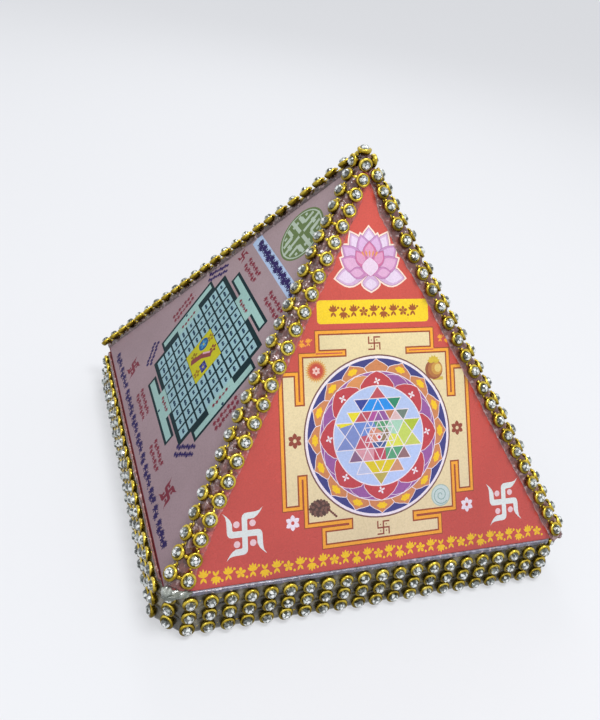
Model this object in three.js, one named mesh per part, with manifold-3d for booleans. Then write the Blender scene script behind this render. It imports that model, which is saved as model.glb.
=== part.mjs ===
// Square pyramid on a low plinth: glued boards, a laminated print on each face, and cup-set
// stones wrapped round the plinth in three rows and laid along the slanted edges.
// Millimetres, Z up, front towards -Y, origin at the middle of the underside.

import * as THREE from 'three';
import { mergeVertices } from 'three/addons/utils/BufferGeometryUtils.js';
import Module from 'manifold-3d';

const wasm = await Module();
wasm.setup();

// Boards and prints
const baseSide = 101.6;
const pyramidRise = 82; // plinth top to the point where the printed faces would meet
const wallThickness = 6;
const cornerChamfer = 5; // each leg, on the plinth's upright corners
const baseBoardThickness = 3;
const faceBoardThickness = 3;
const sheetThickness = 0.5;
const boardTipFlat = 3.1; // width left where the face boards are cut off at the tip
const sheetTipFlat = 4.6;
const glueLine = 0.25; // between pieces that are glued together

// Stones in their metal cups
const cupDiameter = 3.4;
const cupBackDiameter = 2.8;
const cupBellyHeight = 0.6; // where the cup is widest, above its back
const mouthDiameter = 2.6; // the cup narrows to hold its stone
const cupHeight = 1.55;
const crownHeight = 0.65; // stone standing above the cup's rim
const rimWidth = 0.2;
const pocketDepth = 0.7;
const tableShare = 0.55; // flat top of a cut stone, as a share of its width
const stoneClearance = 0.08;
const linkWidth = 0.7;
const linkHeight = 0.45;
const linkLift = 0.8; // underside of a link above the back of the cup
const crossLinkLift = 1; // the same for a link that crosses a slanted edge

// Rows round the plinth
const rowCount = 3;
const rowGap = 0.45;
const rowSpace = 1.1; // between two cups of a row
const rowTopMargin = 0.9;
const rowFootMargin = 0.2;
const cornerGap = 0.25; // least gap from a row's end cup to the cup on the corner
const bedThickness = 0.5; // glue that the cups of a row are set in
const bedMargin = 0.1; // glue showing above and below the cups

// Lace on the slanted edges
const edgeStart = 4.3; // foot corner to the first cup's centre, on a front edge
const ridgeStart = 0.1; // the same on a back edge, where a cup stands on the corner itself
const edgeLink = 1.05; // least length between two cups
const edgeInset = 1.6; // front edge to the middle of a cup, on the front face
const sideInset = 0.9; // the same on the left and right faces
const edgeTopGap = 0.25; // half the gap between the top cups of one face

// Cups round the tip and on it, their backs to a plug of glue
const apexCupReach = 1.5; // upright axis to the back of a cup that faces sideways
const apexCupDrop = 1.75; // face point to the middle of such a cup
const apexCupSink = 0.1; // back of the top cup below the face point

// Hot glue
const cornerGlueWidth = 3.5;
const apexGlueWidth = 2.2;

// Facets
const laceSides = 6;
const apexSides = 10;
const glueSides = 6;

// Worked out from the sizes above
const half = baseSide / 2;
const cupRadius = cupDiameter / 2;
const mouthRadius = mouthDiameter / 2;
const plinthHeight =
  rowTopMargin + rowCount * cupDiameter + (rowCount - 1) * rowGap + rowFootMargin;
const peak = plinthHeight + pyramidRise;
const slantHeight = Math.hypot(half, pyramidRise);
const faceOut = pyramidRise / slantHeight; // level part of a face's outward normal
const faceUp = half / slantHeight; // upright part of it
const weld = 1e-4;

const up = new THREE.Vector3(0, 0, 1);
const quarterTurn = Math.PI / 2;
const sides = ['front', 'right', 'back', 'left'];

const pyramid = new THREE.Group();

function finish(color, roughness, metalness) {
  return new THREE.MeshStandardMaterial({ color, roughness, metalness });
}

function addPiece(name, geometry, material) {
  const mesh = new THREE.Mesh(geometry, material);
  mesh.name = name;
  pyramid.add(mesh);
  return mesh;
}

// Closed geometry to a solid that can be cut and joined, and back again.
function toSolid(geometry) {
  const bare = new THREE.BufferGeometry();
  bare.setAttribute('position', geometry.getAttribute('position'));
  if (geometry.index) bare.setIndex(geometry.index);
  const merged = mergeVertices(bare, weld);
  return new wasm.Manifold(
    new wasm.Mesh({
      numProp: 3,
      vertProperties: merged.getAttribute('position').array,
      triVerts: new Uint32Array(merged.index.array),
    }),
  );
}

function toGeometry(solid) {
  const mesh = solid.getMesh();
  const geometry = new THREE.BufferGeometry();
  geometry.setAttribute('position', new THREE.BufferAttribute(mesh.vertProperties, 3));
  geometry.setIndex(new THREE.BufferAttribute(mesh.triVerts, 1));
  geometry.computeVertexNormals();
  return geometry;
}

function joined(solids) {
  return solids.reduce((whole, solid) => whole.add(solid));
}

// Solid pyramid parallel to the printed faces, moved in by inset, standing on the level bottom.
function slopedSolid(inset, bottom) {
  const footHalf = (half * (peak - bottom)) / pyramidRise - inset / faceOut;
  const height = (footHalf * pyramidRise) / half;
  const cone = new THREE.ConeGeometry(footHalf * Math.SQRT2, height, 4);
  cone.rotateY(Math.PI / 4);
  cone.rotateX(quarterTurn);
  cone.translate(0, 0, bottom + height / 2);
  return toSolid(cone);
}

// The quarter of space in front of both diagonals, from bottom to top, less half a glue line.
function frontQuarter(bottom, top) {
  const setback = glueLine * Math.SQRT1_2;
  const plan = new THREE.Shape();
  plan.moveTo(0, -setback);
  plan.lineTo(-baseSide, -baseSide - setback);
  plan.lineTo(baseSide, -baseSide - setback);
  plan.closePath();
  const prism = new THREE.ExtrudeGeometry(plan, { depth: top - bottom, bevelEnabled: false });
  prism.translate(0, 0, bottom);
  return toSolid(prism);
}

// A sloping panel of the front face, its outer side moved in by inset.
function frontPanel(inset, thickness, tipFlat) {
  const tip = peak - ((tipFlat / 2 + inset / faceOut) * pyramidRise) / half;
  const shell = slopedSolid(inset, plinthHeight).subtract(
    slopedSolid(inset + thickness, plinthHeight - thickness),
  );
  return toGeometry(shell.intersect(frontQuarter(plinthHeight - thickness, tip)));
}

function frontWall() {
  const setback = glueLine * Math.SQRT1_2;
  const inner = half - wallThickness;
  const flatEnd = half - cornerChamfer;
  const chamferMiddle = half - cornerChamfer / 2;
  const plan = new THREE.Shape();
  plan.moveTo(-flatEnd, -half);
  plan.lineTo(flatEnd, -half);
  plan.lineTo(chamferMiddle - setback / 2, -chamferMiddle - setback / 2);
  plan.lineTo(inner - setback, -inner);
  plan.lineTo(-inner + setback, -inner);
  plan.lineTo(-chamferMiddle + setback / 2, -chamferMiddle - setback / 2);
  plan.closePath();
  return new THREE.ExtrudeGeometry(plan, { depth: plinthHeight, bevelEnabled: false });
}

// Turned form standing on its back at the origin, axis along Z, flats across X.
function turned(profile, segments) {
  const points = profile.map(([radius, height]) => new THREE.Vector2(radius, height));
  return new THREE.LatheGeometry(points, segments).rotateX(quarterTurn);
}

// Cup with its stone in one piece, as the lace carries it. Its back may be sunk in glue.
function stonedCup(back = 0) {
  return turned(
    [[0, back], [cupRadius, back], [mouthRadius, cupHeight], [0, cupHeight + crownHeight]],
    laceSides,
  );
}

// Places a form with its back at a point, facing out, with its X along a row.
function seat(at, out, along) {
  const across = new THREE.Vector3().crossVectors(out, along).normalize();
  const row = new THREE.Vector3().crossVectors(across, out);
  return new THREE.Matrix4().makeBasis(row, across, out).setPosition(at);
}

function lifted(at, out, lift) {
  return at.clone().addScaledVector(out, lift);
}

// Link of roof section from one cup's middle to another's, flat side towards the boards.
function link(first, second, lift) {
  const from = lifted(first.at, first.out, lift);
  const to = lifted(second.at, second.out, lift);
  const run = to.clone().sub(from);
  const out = first.out.clone().add(second.out).normalize();
  const section = new THREE.Shape();
  section.moveTo(-linkWidth / 2, 0);
  section.lineTo(linkWidth / 2, 0);
  section.lineTo(0, linkHeight);
  section.closePath();
  const bar = new THREE.ExtrudeGeometry(section, { depth: run.length(), bevelEnabled: false });
  const across = new THREE.Vector3().crossVectors(out, run).normalize();
  const frame = new THREE.Matrix4().makeBasis(across, out, run.normalize()).setPosition(from);
  return toSolid(bar.applyMatrix4(frame));
}

function seatedCup({ at, out, along }, back) {
  return toSolid(stonedCup(back).applyMatrix4(seat(at, out, along)));
}

// Cups joined by links; each place has its point, outward direction and row direction.
function chain(places) {
  const cups = places.map((place) => seatedCup(place));
  const links = places.slice(1).map((place, i) => link(places[i], place, linkLift));
  return [...cups, ...links];
}

// Ring of glue round the plinth, which a row of cups is set in.
function glueBed(level) {
  const ring = (offset, Kind) => {
    const side = half + offset;
    const flatEnd = half - cornerChamfer + offset * Math.tan(Math.PI / 8);
    const outline = new Kind();
    outline.moveTo(flatEnd, -side);
    for (let i = 0; i < sides.length; i++) {
      for (const [x, y] of [[flatEnd, -side], [side, -flatEnd]]) {
        const point = new THREE.Vector2(x, y).rotateAround(new THREE.Vector2(), i * quarterTurn);
        outline.lineTo(point.x, point.y);
      }
    }
    return outline;
  };
  const plan = ring(glueLine + bedThickness, THREE.Shape);
  plan.holes.push(ring(glueLine, THREE.Path));
  const width = cupDiameter + 2 * bedMargin;
  const bed = new THREE.ExtrudeGeometry(plan, { depth: width, bevelEnabled: false });
  return toSolid(bed.translate(0, 0, level - width / 2));
}

// One row right round the plinth: the cups of each side, then the cup on its corner.
function plinthRow(level) {
  const pitch = cupDiameter + rowSpace;
  const cornerMiddle = half - cornerChamfer / 2;
  const endLimit = cornerMiddle - cupRadius * (1 + Math.SQRT1_2) - cornerGap;
  const perSide = Math.floor((2 * endLimit) / pitch) + 1;
  const places = [];
  for (let side = 0; side < sides.length; side++) {
    const turn = side * quarterTurn;
    const place = (x, y, angle) => ({
      at: new THREE.Vector3(x, y, level).applyAxisAngle(up, turn),
      out: new THREE.Vector3(0, -1, 0).applyAxisAngle(up, turn + angle),
      along: new THREE.Vector3(1, 0, 0).applyAxisAngle(up, turn + angle),
    });
    for (let i = 0; i < perSide; i++) {
      places.push(place((i - (perSide - 1) / 2) * pitch, -half - glueLine, 0));
    }
    const reach = cornerMiddle + glueLine * Math.SQRT1_2;
    places.push(place(reach, -reach, quarterTurn / 2));
  }
  return toGeometry(joined([glueBed(level), ...places.map((p) => seatedCup(p, bedThickness / 2))]));
}

// A slanted edge: its foot corner, named by its signs, its direction up and its length.
function slantedEdge(corner) {
  const foot = new THREE.Vector3(corner.x * half, corner.y * half, plinthHeight);
  const run = new THREE.Vector3(0, 0, peak).sub(foot);
  return { foot, length: run.length(), along: run.normalize() };
}

// Distances up a slanted edge at which a lace has its cups. Its links are drawn out evenly so
// that the last cups reach the tip.
function cupDistances(length, start) {
  const topRoom = ((cupRadius + edgeTopGap) * length + sideInset * slantHeight) / half;
  const run = length - start - topRoom;
  const steps = Math.floor(run / (cupDiameter + edgeLink));
  return Array.from({ length: steps + 1 }, (_, i) => start + (i * run) / steps);
}

// The cups beside an edge on one of its two faces, which is named by its level outward
// direction. Cups that would meet the other row of their face at the tip move out.
function edgeRow(corner, faceDirection, inset) {
  const { foot, length, along } = slantedEdge(corner);
  const out = faceDirection.clone().multiplyScalar(faceOut).addScaledVector(up, faceUp);
  const inward = new THREE.Vector3().crossVectors(out, along).normalize();
  const middle = faceDirection.clone().multiplyScalar(half).sub(foot);
  if (inward.dot(middle) < 0) inward.negate();
  return cupDistances(length, edgeStart).map((distance) => {
    const room = ((length - distance) * half - (cupRadius + edgeTopGap) * length) / slantHeight;
    const at = lifted(foot, along, distance);
    at.addScaledVector(inward, Math.min(inset, room)).addScaledVector(out, glueLine);
    return { at, out, along };
  });
}

// Lace folded over a front edge: a linked row on the front face, and a row on the side face
// that hangs on the links across, one for every pair of cups.
function foldedLace(corner) {
  const onFront = edgeRow(corner, new THREE.Vector3(0, corner.y, 0), edgeInset);
  const onSide = edgeRow(corner, new THREE.Vector3(corner.x, 0, 0), sideInset);
  const crossLinks = onFront.map((place, i) => link(place, onSide[i], crossLinkLift));
  const sideCups = onSide.map((place) => seatedCup(place));
  return toGeometry(joined([...chain(onFront), ...sideCups, ...crossLinks]));
}

// Lace along a back edge: one linked row standing on the ridge between two faces.
function ridgeLace(corner) {
  const { foot, length, along } = slantedEdge(corner);
  const out = new THREE.Vector3(corner.x * faceOut, corner.y * faceOut, 2 * faceUp).normalize();
  const places = cupDistances(length, ridgeStart).map((distance) => {
    return { at: lifted(lifted(foot, along, distance), out, glueLine), out, along };
  });
  return toGeometry(joined(chain(places)));
}

// Open metal cup and the cut stone that lies in its pocket.
function openCup() {
  const pocket = mouthRadius - rimWidth;
  const floor = cupHeight - pocketDepth;
  return turned(
    [
      [0, 0],
      [cupBackDiameter / 2, 0],
      [cupRadius, cupBellyHeight],
      [mouthRadius, cupHeight],
      [pocket, cupHeight],
      [pocket, floor],
      [0, floor],
    ],
    apexSides,
  );
}

function cutStone() {
  const girdle = mouthRadius - rimWidth - stoneClearance;
  const culet = cupHeight - pocketDepth + stoneClearance;
  const top = cupHeight + crownHeight;
  return turned([[0, culet], [girdle, cupHeight], [girdle * tableShare, top], [0, top]], apexSides);
}

// Lump of glue over the front left foot corner, between its lace and the corner cup below.
function cornerGlue() {
  const along = new THREE.Vector3(half, half, pyramidRise).normalize();
  const reach = (edgeStart - cupRadius - glueLine) / 2;
  const lump = new THREE.SphereGeometry(1, glueSides, glueSides / 2 + 1);
  lump.rotateX(quarterTurn);
  lump.scale(cornerGlueWidth / 2, cornerGlueWidth / 2, reach);
  const foot = new THREE.Vector3(-half, -half, plinthHeight);
  const turn = new THREE.Quaternion().setFromUnitVectors(up, along);
  lump.applyQuaternion(turn);
  const middle = lifted(foot, along, reach / 2);
  lump.translate(middle.x, middle.y, middle.z);
  return toGeometry(toSolid(lump).subtract(slopedSolid(-glueLine, plinthHeight - glueLine)));
}

const boardFinish = finish(0x6b5340, 0.85, 0);
const redPrint = finish(0xc4504e, 0.3, 0);
const greyPrint = finish(0x9a8388, 0.3, 0);
const goldFinish = finish(0xd8b83c, 0.3, 1);
const stoneFinish = finish(0xe6ebe8, 0.1, 0);
const glueFinish = finish(0x9c8a7c, 0.35, 0);

// Base board between the plinth walls, flush with their feet
const baseBoardSide = baseSide - 2 * (wallThickness + glueLine);
const baseBoard = new THREE.BoxGeometry(baseBoardSide, baseBoardSide, baseBoardThickness);
addPiece('base_board', baseBoard, boardFinish).position.z = baseBoardThickness / 2;

// Four walls, four face boards and four prints, one set a quarter turn from the next
const wall = frontWall();
const faceBoard = frontPanel(sheetThickness + glueLine, faceBoardThickness, boardTipFlat);
const sheet = frontPanel(0, sheetThickness, sheetTipFlat);
const cup = openCup();
const stone = cutStone();
sides.forEach((side, i) => {
  const quarter = new THREE.Group();
  quarter.rotation.z = i * quarterTurn;
  pyramid.add(quarter);
  const isRed = side === 'front' || side === 'back';
  quarter.add(addPiece('plinth_wall_' + side, wall, boardFinish.clone()));
  quarter.add(addPiece('face_board_' + side, faceBoard, boardFinish.clone()));
  quarter.add(addPiece('printed_sheet_' + side, sheet, (isRed ? redPrint : greyPrint).clone()));
  const at = new THREE.Vector3(0, -apexCupReach, peak - apexCupDrop);
  const seated = seat(at, new THREE.Vector3(0, -1, 0), new THREE.Vector3(1, 0, 0));
  quarter.add(addPiece('apex_cup_' + side, cup.clone().applyMatrix4(seated), goldFinish.clone()));
  quarter.add(addPiece('apex_stone_' + side, stone.clone().applyMatrix4(seated), stoneFinish.clone()));
});

['front_left', 'front_right'].forEach((corner, i) => {
  const lump = addPiece('corner_glue_' + corner, cornerGlue(), glueFinish.clone());
  lump.rotation.z = i * quarterTurn;
});

// Top cup with its stone, on the plug of glue that stands on the boards' cut tips
const topCupBack = peak - apexCupSink;
addPiece('apex_cup_top', cup.clone(), goldFinish.clone()).position.z = topCupBack;
addPiece('apex_stone_top', stone.clone(), stoneFinish.clone()).position.z = topCupBack;
const boardInset = (sheetThickness + glueLine) / faceOut;
const boardTip = peak - ((boardTipFlat / 2 + boardInset) * pyramidRise) / half;
const plugFoot = boardTip + glueLine;
const plugHead = topCupBack - glueLine;
const gluePlug = turned(
  [[0, plugFoot], [apexGlueWidth / 2, plugFoot], [apexGlueWidth / 2, plugHead], [0, plugHead]],
  glueSides,
);
addPiece('apex_glue', gluePlug, glueFinish.clone());

// Three rows round the plinth, from the top down
for (let row = 0; row < rowCount; row++) {
  const level = plinthHeight - rowTopMargin - cupRadius - row * (cupDiameter + rowGap);
  addPiece('stone_row_' + (row + 1), plinthRow(level), goldFinish.clone());
}

// Lace on the slanted edges: folded over the front two, on the ridge of the back two
const corners = {
  front_left: { x: -1, y: -1, lace: foldedLace },
  front_right: { x: 1, y: -1, lace: foldedLace },
  back_left: { x: -1, y: 1, lace: ridgeLace },
  back_right: { x: 1, y: 1, lace: ridgeLace },
};
for (const [name, corner] of Object.entries(corners)) {
  addPiece('edge_lace_' + name, corner.lace(corner), goldFinish.clone());
}

export default pyramid;
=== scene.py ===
# Stone-trimmed yantra pyramid: laminated prints on the four faces, stones in gilt cups
# along the slanted edges and in three rows round the plinth, all set in clear glue.
import random
from math import copysign, cos, hypot, log, pi, radians, sin, sqrt, tan, tau

import bmesh
import bpy
from mathutils import Matrix, Vector, noise
from mathutils.geometry import delaunay_2d_cdt


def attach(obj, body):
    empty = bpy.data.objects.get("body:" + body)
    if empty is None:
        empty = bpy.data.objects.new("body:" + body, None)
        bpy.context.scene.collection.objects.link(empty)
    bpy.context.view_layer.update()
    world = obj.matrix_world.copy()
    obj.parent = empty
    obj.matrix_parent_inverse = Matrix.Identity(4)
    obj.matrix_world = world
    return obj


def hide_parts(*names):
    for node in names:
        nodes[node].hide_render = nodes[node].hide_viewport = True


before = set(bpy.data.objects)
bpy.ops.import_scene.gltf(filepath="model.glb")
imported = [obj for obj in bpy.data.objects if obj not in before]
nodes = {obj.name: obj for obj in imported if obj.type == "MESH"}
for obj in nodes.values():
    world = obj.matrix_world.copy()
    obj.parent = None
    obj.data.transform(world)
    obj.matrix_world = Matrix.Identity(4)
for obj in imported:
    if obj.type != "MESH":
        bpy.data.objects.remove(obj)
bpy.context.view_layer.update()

mm = 0.001  # lengths below are in millimetres

pyramid = {
    "halfSide": 50.8,
    "plinthTop": 12.2,
    "rise": 82.0,
    "cornerChamfer": 5.0,
    "glueLine": 0.25,
}

half = pyramid["halfSide"]
plinthTop = pyramid["plinthTop"]
glueLine = pyramid["glueLine"]
peak = plinthTop + pyramid["rise"]
slant = hypot(half, pyramid["rise"])
faceOut = pyramid["rise"] / slant
faceUp = half / slant
sideTurns = {"front": 0, "right": 1, "back": 2, "left": 3}


def quarterTurned(point, turns):
    x, y, z = point
    for _ in range(turns % 4):
        x, y = -y, x
    return Vector((x, y, z))


# A point of a sloping face: across from its middle, up the slope, and out from the print.
def facePoint(side, across, upSlope, out=0.0):
    y = -half + upSlope * faceUp - out * faceOut
    z = plinthTop + upSlope * faceOut + out * faceUp
    return quarterTurned((across, y, z), sideTurns[side])


def faceNormal(side):
    return quarterTurned((0, -faceOut, faceUp), sideTurns[side])


# A screen colour, 0 to 255, as Blender's linear colour
def ink(*parts):
    def linear(value):
        value /= 255
        return value / 12.92 if value <= 0.04045 else ((value + 0.055) / 1.055) ** 2.4
    return (*(linear(part) for part in parts), 1.0)


def grey(value):
    return (value, value, value, 1.0)


def newMesh(layer="tint"):
    mesh = bmesh.new()
    return mesh, mesh.loops.layers.float_color.new(layer)


def paint(face, layer, colour):
    for loop in face.loops:
        loop[layer] = colour


# Turns a finished mesh into a piece, in place of some nodes
def settle(name, mesh, materials, slot, *replaced):
    data = bpy.data.meshes.new(name)
    mesh.to_mesh(data)
    mesh.free()
    for material in materials:
        data.materials.append(material)
    piece = bpy.data.objects.new(name, data)
    bpy.context.scene.collection.objects.link(piece)
    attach(piece, "root")
    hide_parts(*replaced)


# Materials

# Sets a node's sockets, each to a value or from another node's output
def feed(tree, node, sockets):
    for name, source in sockets.items():
        if isinstance(source, (tuple, float, int)):
            node.inputs[name].default_value = source
        else:
            tree.links.new(source, node.inputs[name])


def addNode(tree, kind, sockets=(), **settings):
    node = tree.nodes.new("ShaderNode" + kind)
    for name, value in settings.items():
        setattr(node, name, value)
    feed(tree, node, dict(sockets))
    return node


def noiseNode(tree, scale, detail=3.0, roughness=0.5):
    place = tree.nodes.get("place") or addNode(tree, "TexCoord", name="place")
    sockets = {"Scale": scale, "Detail": detail, "Roughness": roughness, "Vector": place.outputs["Object"]}
    return addNode(tree, "TexNoise", sockets).outputs["Fac"]


# Stops are pairs of position and colour, or position and grey value.
def rampNode(tree, source, *stops):
    ramp = addNode(tree, "ValToRGB", {"Fac": source})
    elements = ramp.color_ramp.elements
    while len(elements) < len(stops):
        elements.new(0.5)
    for element, (position, colour) in zip(elements, stops):
        element.position = position
        element.color = colour if isinstance(colour, tuple) else grey(colour)
    return ramp.outputs["Color"]


def mixed(tree, first, second, blend="MULTIPLY", share=1.0):
    sockets = {6: first, 7: second, 0: share}
    return addNode(tree, "Mix", sockets, data_type="RGBA", blend_type=blend).outputs[2]


def bumpNode(tree, source, distance, strength):
    sockets = {"Height": source, "Distance": distance * mm, "Strength": strength}
    return addNode(tree, "Bump", sockets).outputs["Normal"]


def meshColour(tree, name):
    return addNode(tree, "Attribute", attribute_name=name).outputs["Color"]


def newMaterial(name):
    material = bpy.data.materials.new(name)
    material.use_nodes = True
    return material, material.node_tree


# Feeds a material's main shader
def shaded(material, sockets):
    tree = material.node_tree
    feed(tree, tree.nodes["Principled BSDF"], sockets)
    return material


# Ink from the mesh's own colours, duller towards the foot with painted shade, under an uneven glossy film
def printMaterial(name, filmRoughness, footShade, gloss):
    material, tree = newMaterial(name)
    tone = rampNode(tree, noiseNode(tree, 60, 4), (0.3, 0.86), (0.7, 1.0))
    dots = rampNode(tree, noiseNode(tree, 2600, 2), (0.35, 0.9), (0.6, 1.0))
    place = addNode(tree, "SeparateXYZ", {0: tree.nodes["place"].outputs["Object"]})
    height = addNode(tree, "MapRange", {"From Min": 0.012, "From Max": 0.085, "Value": place.outputs["Z"]})
    # painted shade: the ink darkens towards the foot of the face
    paintedShade = rampNode(tree, height.outputs["Result"], (0.0, footShade), (0.8, 1.0))
    toned = mixed(tree, meshColour(tree, "ink"), tone)
    low, high = filmRoughness
    return shaded(material, {
        "Base Color": mixed(tree, mixed(tree, toned, paintedShade), dots),
        "Roughness": rampNode(tree, noiseNode(tree, 130, 3), (0.3, low), (0.75, high)),
        "Coat Weight": gloss * 0.8,
        "Coat Roughness": 0.12,
        "Specular IOR Level": gloss,
        "Normal": bumpNode(tree, noiseNode(tree, 90, 2), 0.12, 0.5),
    })


# Bright plating, darkened by the mesh's own tint, which carries painted shade
def gildedMaterial():
    material, tree = newMaterial("gildedCup")
    wear = noiseNode(tree, 420, 3)
    gold = rampNode(tree, wear, (0.3, ink(140, 116, 36)), (0.5, ink(200, 174, 60)), (0.75, ink(236, 214, 98)))
    return shaded(material, {
        "Base Color": mixed(tree, gold, meshColour(tree, "tint")),
        "Roughness": rampNode(tree, noiseNode(tree, 900, 2), (0.3, 0.16), (0.8, 0.34)),
        "Metallic": 1.0,
        "Normal": bumpNode(tree, noiseNode(tree, 1500, 2), 0.03, 0.5),
    })


# Foil-backed stone: each facet's own tone, a painted reflection, under a hard clear skin
def stoneMaterial():
    material, tree = newMaterial("cutStone")
    tone = rampNode(tree, noiseNode(tree, 1400, 1), (0.35, 0.8), (0.65, 1.0))
    return shaded(material, {
        "Base Color": mixed(tree, meshColour(tree, "tint"), tone),
        "Metallic": 0.55,
        "Roughness": 0.12,
        "Coat Weight": 1.0,
        "Coat Roughness": 0.02,
    })


# Set hot glue. Its colour runs through some stops, or follows the mesh's own tint where there
# are none, and then carries small pale glints, which are painted highlights.
def glueMaterial(name, roughness, *stops, transmission=0.0):
    material, tree = newMaterial(name)
    if stops:
        colour = rampNode(tree, noiseNode(tree, 330, 4), *stops)
    else:
        tone = rampNode(tree, noiseNode(tree, 800, 5, 0.65), (0.36, 0.4), (0.5, 0.86), (0.62, 1.12))
        # painted highlights: pale glints mixed into the colour at random spots
        spots = rampNode(tree, noiseNode(tree, 950, 3), (0.57, 0), (0.68, 0.5))
        colour = mixed(tree, mixed(tree, meshColour(tree, "tint"), tone), ink(228, 200, 200), "MIX", spots)
    return shaded(material, {
        "Base Color": colour,
        "Roughness": roughness,
        "Coat Weight": 0.6,
        "Coat Roughness": 0.06,
        "Transmission Weight": transmission,
        "Normal": bumpNode(tree, noiseNode(tree, 900, 3), 0.16, 0.8),
    })


def boardMaterial():
    material, tree = newMaterial("fibreBoard")
    fibres = noiseNode(tree, 1100, 5, 0.7)
    brown = rampNode(tree, fibres, (0.3, ink(62, 44, 34)), (0.55, ink(98, 74, 56)), (0.75, ink(128, 102, 80)))
    stain = rampNode(tree, noiseNode(tree, 45, 3), (0.35, 0.62), (0.65, 1.0))
    return shaded(material, {
        "Base Color": mixed(tree, brown, stain),
        "Roughness": 0.85,
        "Normal": bumpNode(tree, fibres, 0.15, 0.8),
    })


redPrint = printMaterial("redPrint", (0.22, 0.36), (0.78, 0.74, 0.9, 1.0), 0.42)
greyPrint = printMaterial("greyPrint", (0.3, 0.45), (0.8, 0.76, 0.8, 1.0), 0.05)
gilded = gildedMaterial()
cutStone = stoneMaterial()
laceGlue = glueMaterial("laceGlue", 0.16)
footGlue = glueMaterial("footGlue", 0.2)
plinthGlue = glueMaterial(
    "plinthGlue", 0.32, (0.36, ink(34, 30, 22)), (0.5, ink(74, 68, 52)), (0.66, ink(132, 126, 106)),
)
clearGlue = glueMaterial(
    "clearGlue", 0.12, (0.32, ink(58, 64, 56)), (0.5, ink(110, 116, 106)), (0.68, ink(190, 196, 187)),
    transmission=0.2,
)
board = boardMaterial()
print("materials ready")


# Artwork: flat shapes in millimetres on a face, each one over those before it

def disc(x, y, radius, count=24, squash=1.0):
    angles = [i * tau / count for i in range(count)]
    return [(x + radius * cos(a), y + radius * squash * sin(a)) for a in angles]


def rectangle(x0, y0, x1, y1):
    return [(x0, y0), (x1, y0), (x1, y1), (x0, y1)]


def roundedRectangle(x0, y0, x1, y1, radius, steps=5):
    middles = rectangle(x0 + radius, y0 + radius, x1 - radius, y1 - radius)
    outline = []
    for (cx, cy), start in zip(middles[1:] + middles[:1], (-90, 0, 90, 180)):
        for i in range(steps + 1):
            angle = radians(start + 90 * i / steps)
            outline.append((cx + radius * cos(angle), cy + radius * sin(angle)))
    return outline


def placed(shape, x, y, angle=0.0, scale=1.0):
    c, s = cos(angle) * scale, sin(angle) * scale
    return [(x + c * px - s * py, y + s * px + c * py) for px, py in shape]


# Pointed leaf from the origin up to (0, length)
def leaf(length, width, belly=0.45, steps=7):
    right = []
    for i in range(1, steps):
        t = i / steps
        right.append((width / 2 * sin(pi * t ** (log(0.5) / log(belly))), length * t))
    return [(0, 0), *right, (0, length), *[(-x, y) for x, y in reversed(right)]]


# A line of even width through some points
def stroke(points, width):
    left, right = [], []
    for i, (x, y) in enumerate(points):
        before = points[max(i - 1, 0)]
        after = points[min(i + 1, len(points) - 1)]
        dx, dy = after[0] - before[0], after[1] - before[1]
        length = hypot(dx, dy)
        nx, ny = -dy / length * width / 2, dx / length * width / 2
        left.append((x + nx, y + ny))
        right.append((x - nx, y - ny))
    return right + left[::-1]


def sidesOf(shape):
    return zip(shape, shape[1:] + shape[:1])


def counterclockwise(shape):
    return shape if sum(x0 * y1 - x1 * y0 for (x0, y0), (x1, y1) in sidesOf(shape)) > 0 else shape[::-1]


# Moves the sides of a closed outline outward by a distance.
def grown(outline, distance):
    outline = counterclockwise(outline)
    moved = []
    for i, (x1, y1) in enumerate(outline):
        x0, y0 = outline[i - 1]
        x2, y2 = outline[(i + 1) % len(outline)]
        la, lb = hypot(x1 - x0, y1 - y0), hypot(x2 - x1, y2 - y1)
        nax, nay = (y1 - y0) / la, (x0 - x1) / la
        nbx, nby = (y2 - y1) / lb, (x1 - x2) / lb
        scale = distance / max(1 + nax * nbx + nay * nby, 0.2)
        moved.append((x1 + (nax + nbx) * scale, y1 + (nay + nby) * scale))
    return moved


class Art:
    def __init__(self, ground):
        self.ground = ground
        self.shapes = []

    def add(self, shape, colour):
        self.shapes.append((counterclockwise(shape), colour))

    def addDisc(self, x, y, radius, count, colour):
        self.add(disc(x, y, radius, count), colour)

    def outlined(self, shape, colour, edge, width):
        self.add(grown(shape, width), edge)
        self.add(shape, colour)


sheetSize = {
    "thickness": 0.5,
    "tipFlat": 4.6,
    "setback": 0.18,  # from each slanted edge, for the glue between two prints
    "backColour": ink(226, 220, 226),
}


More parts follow.
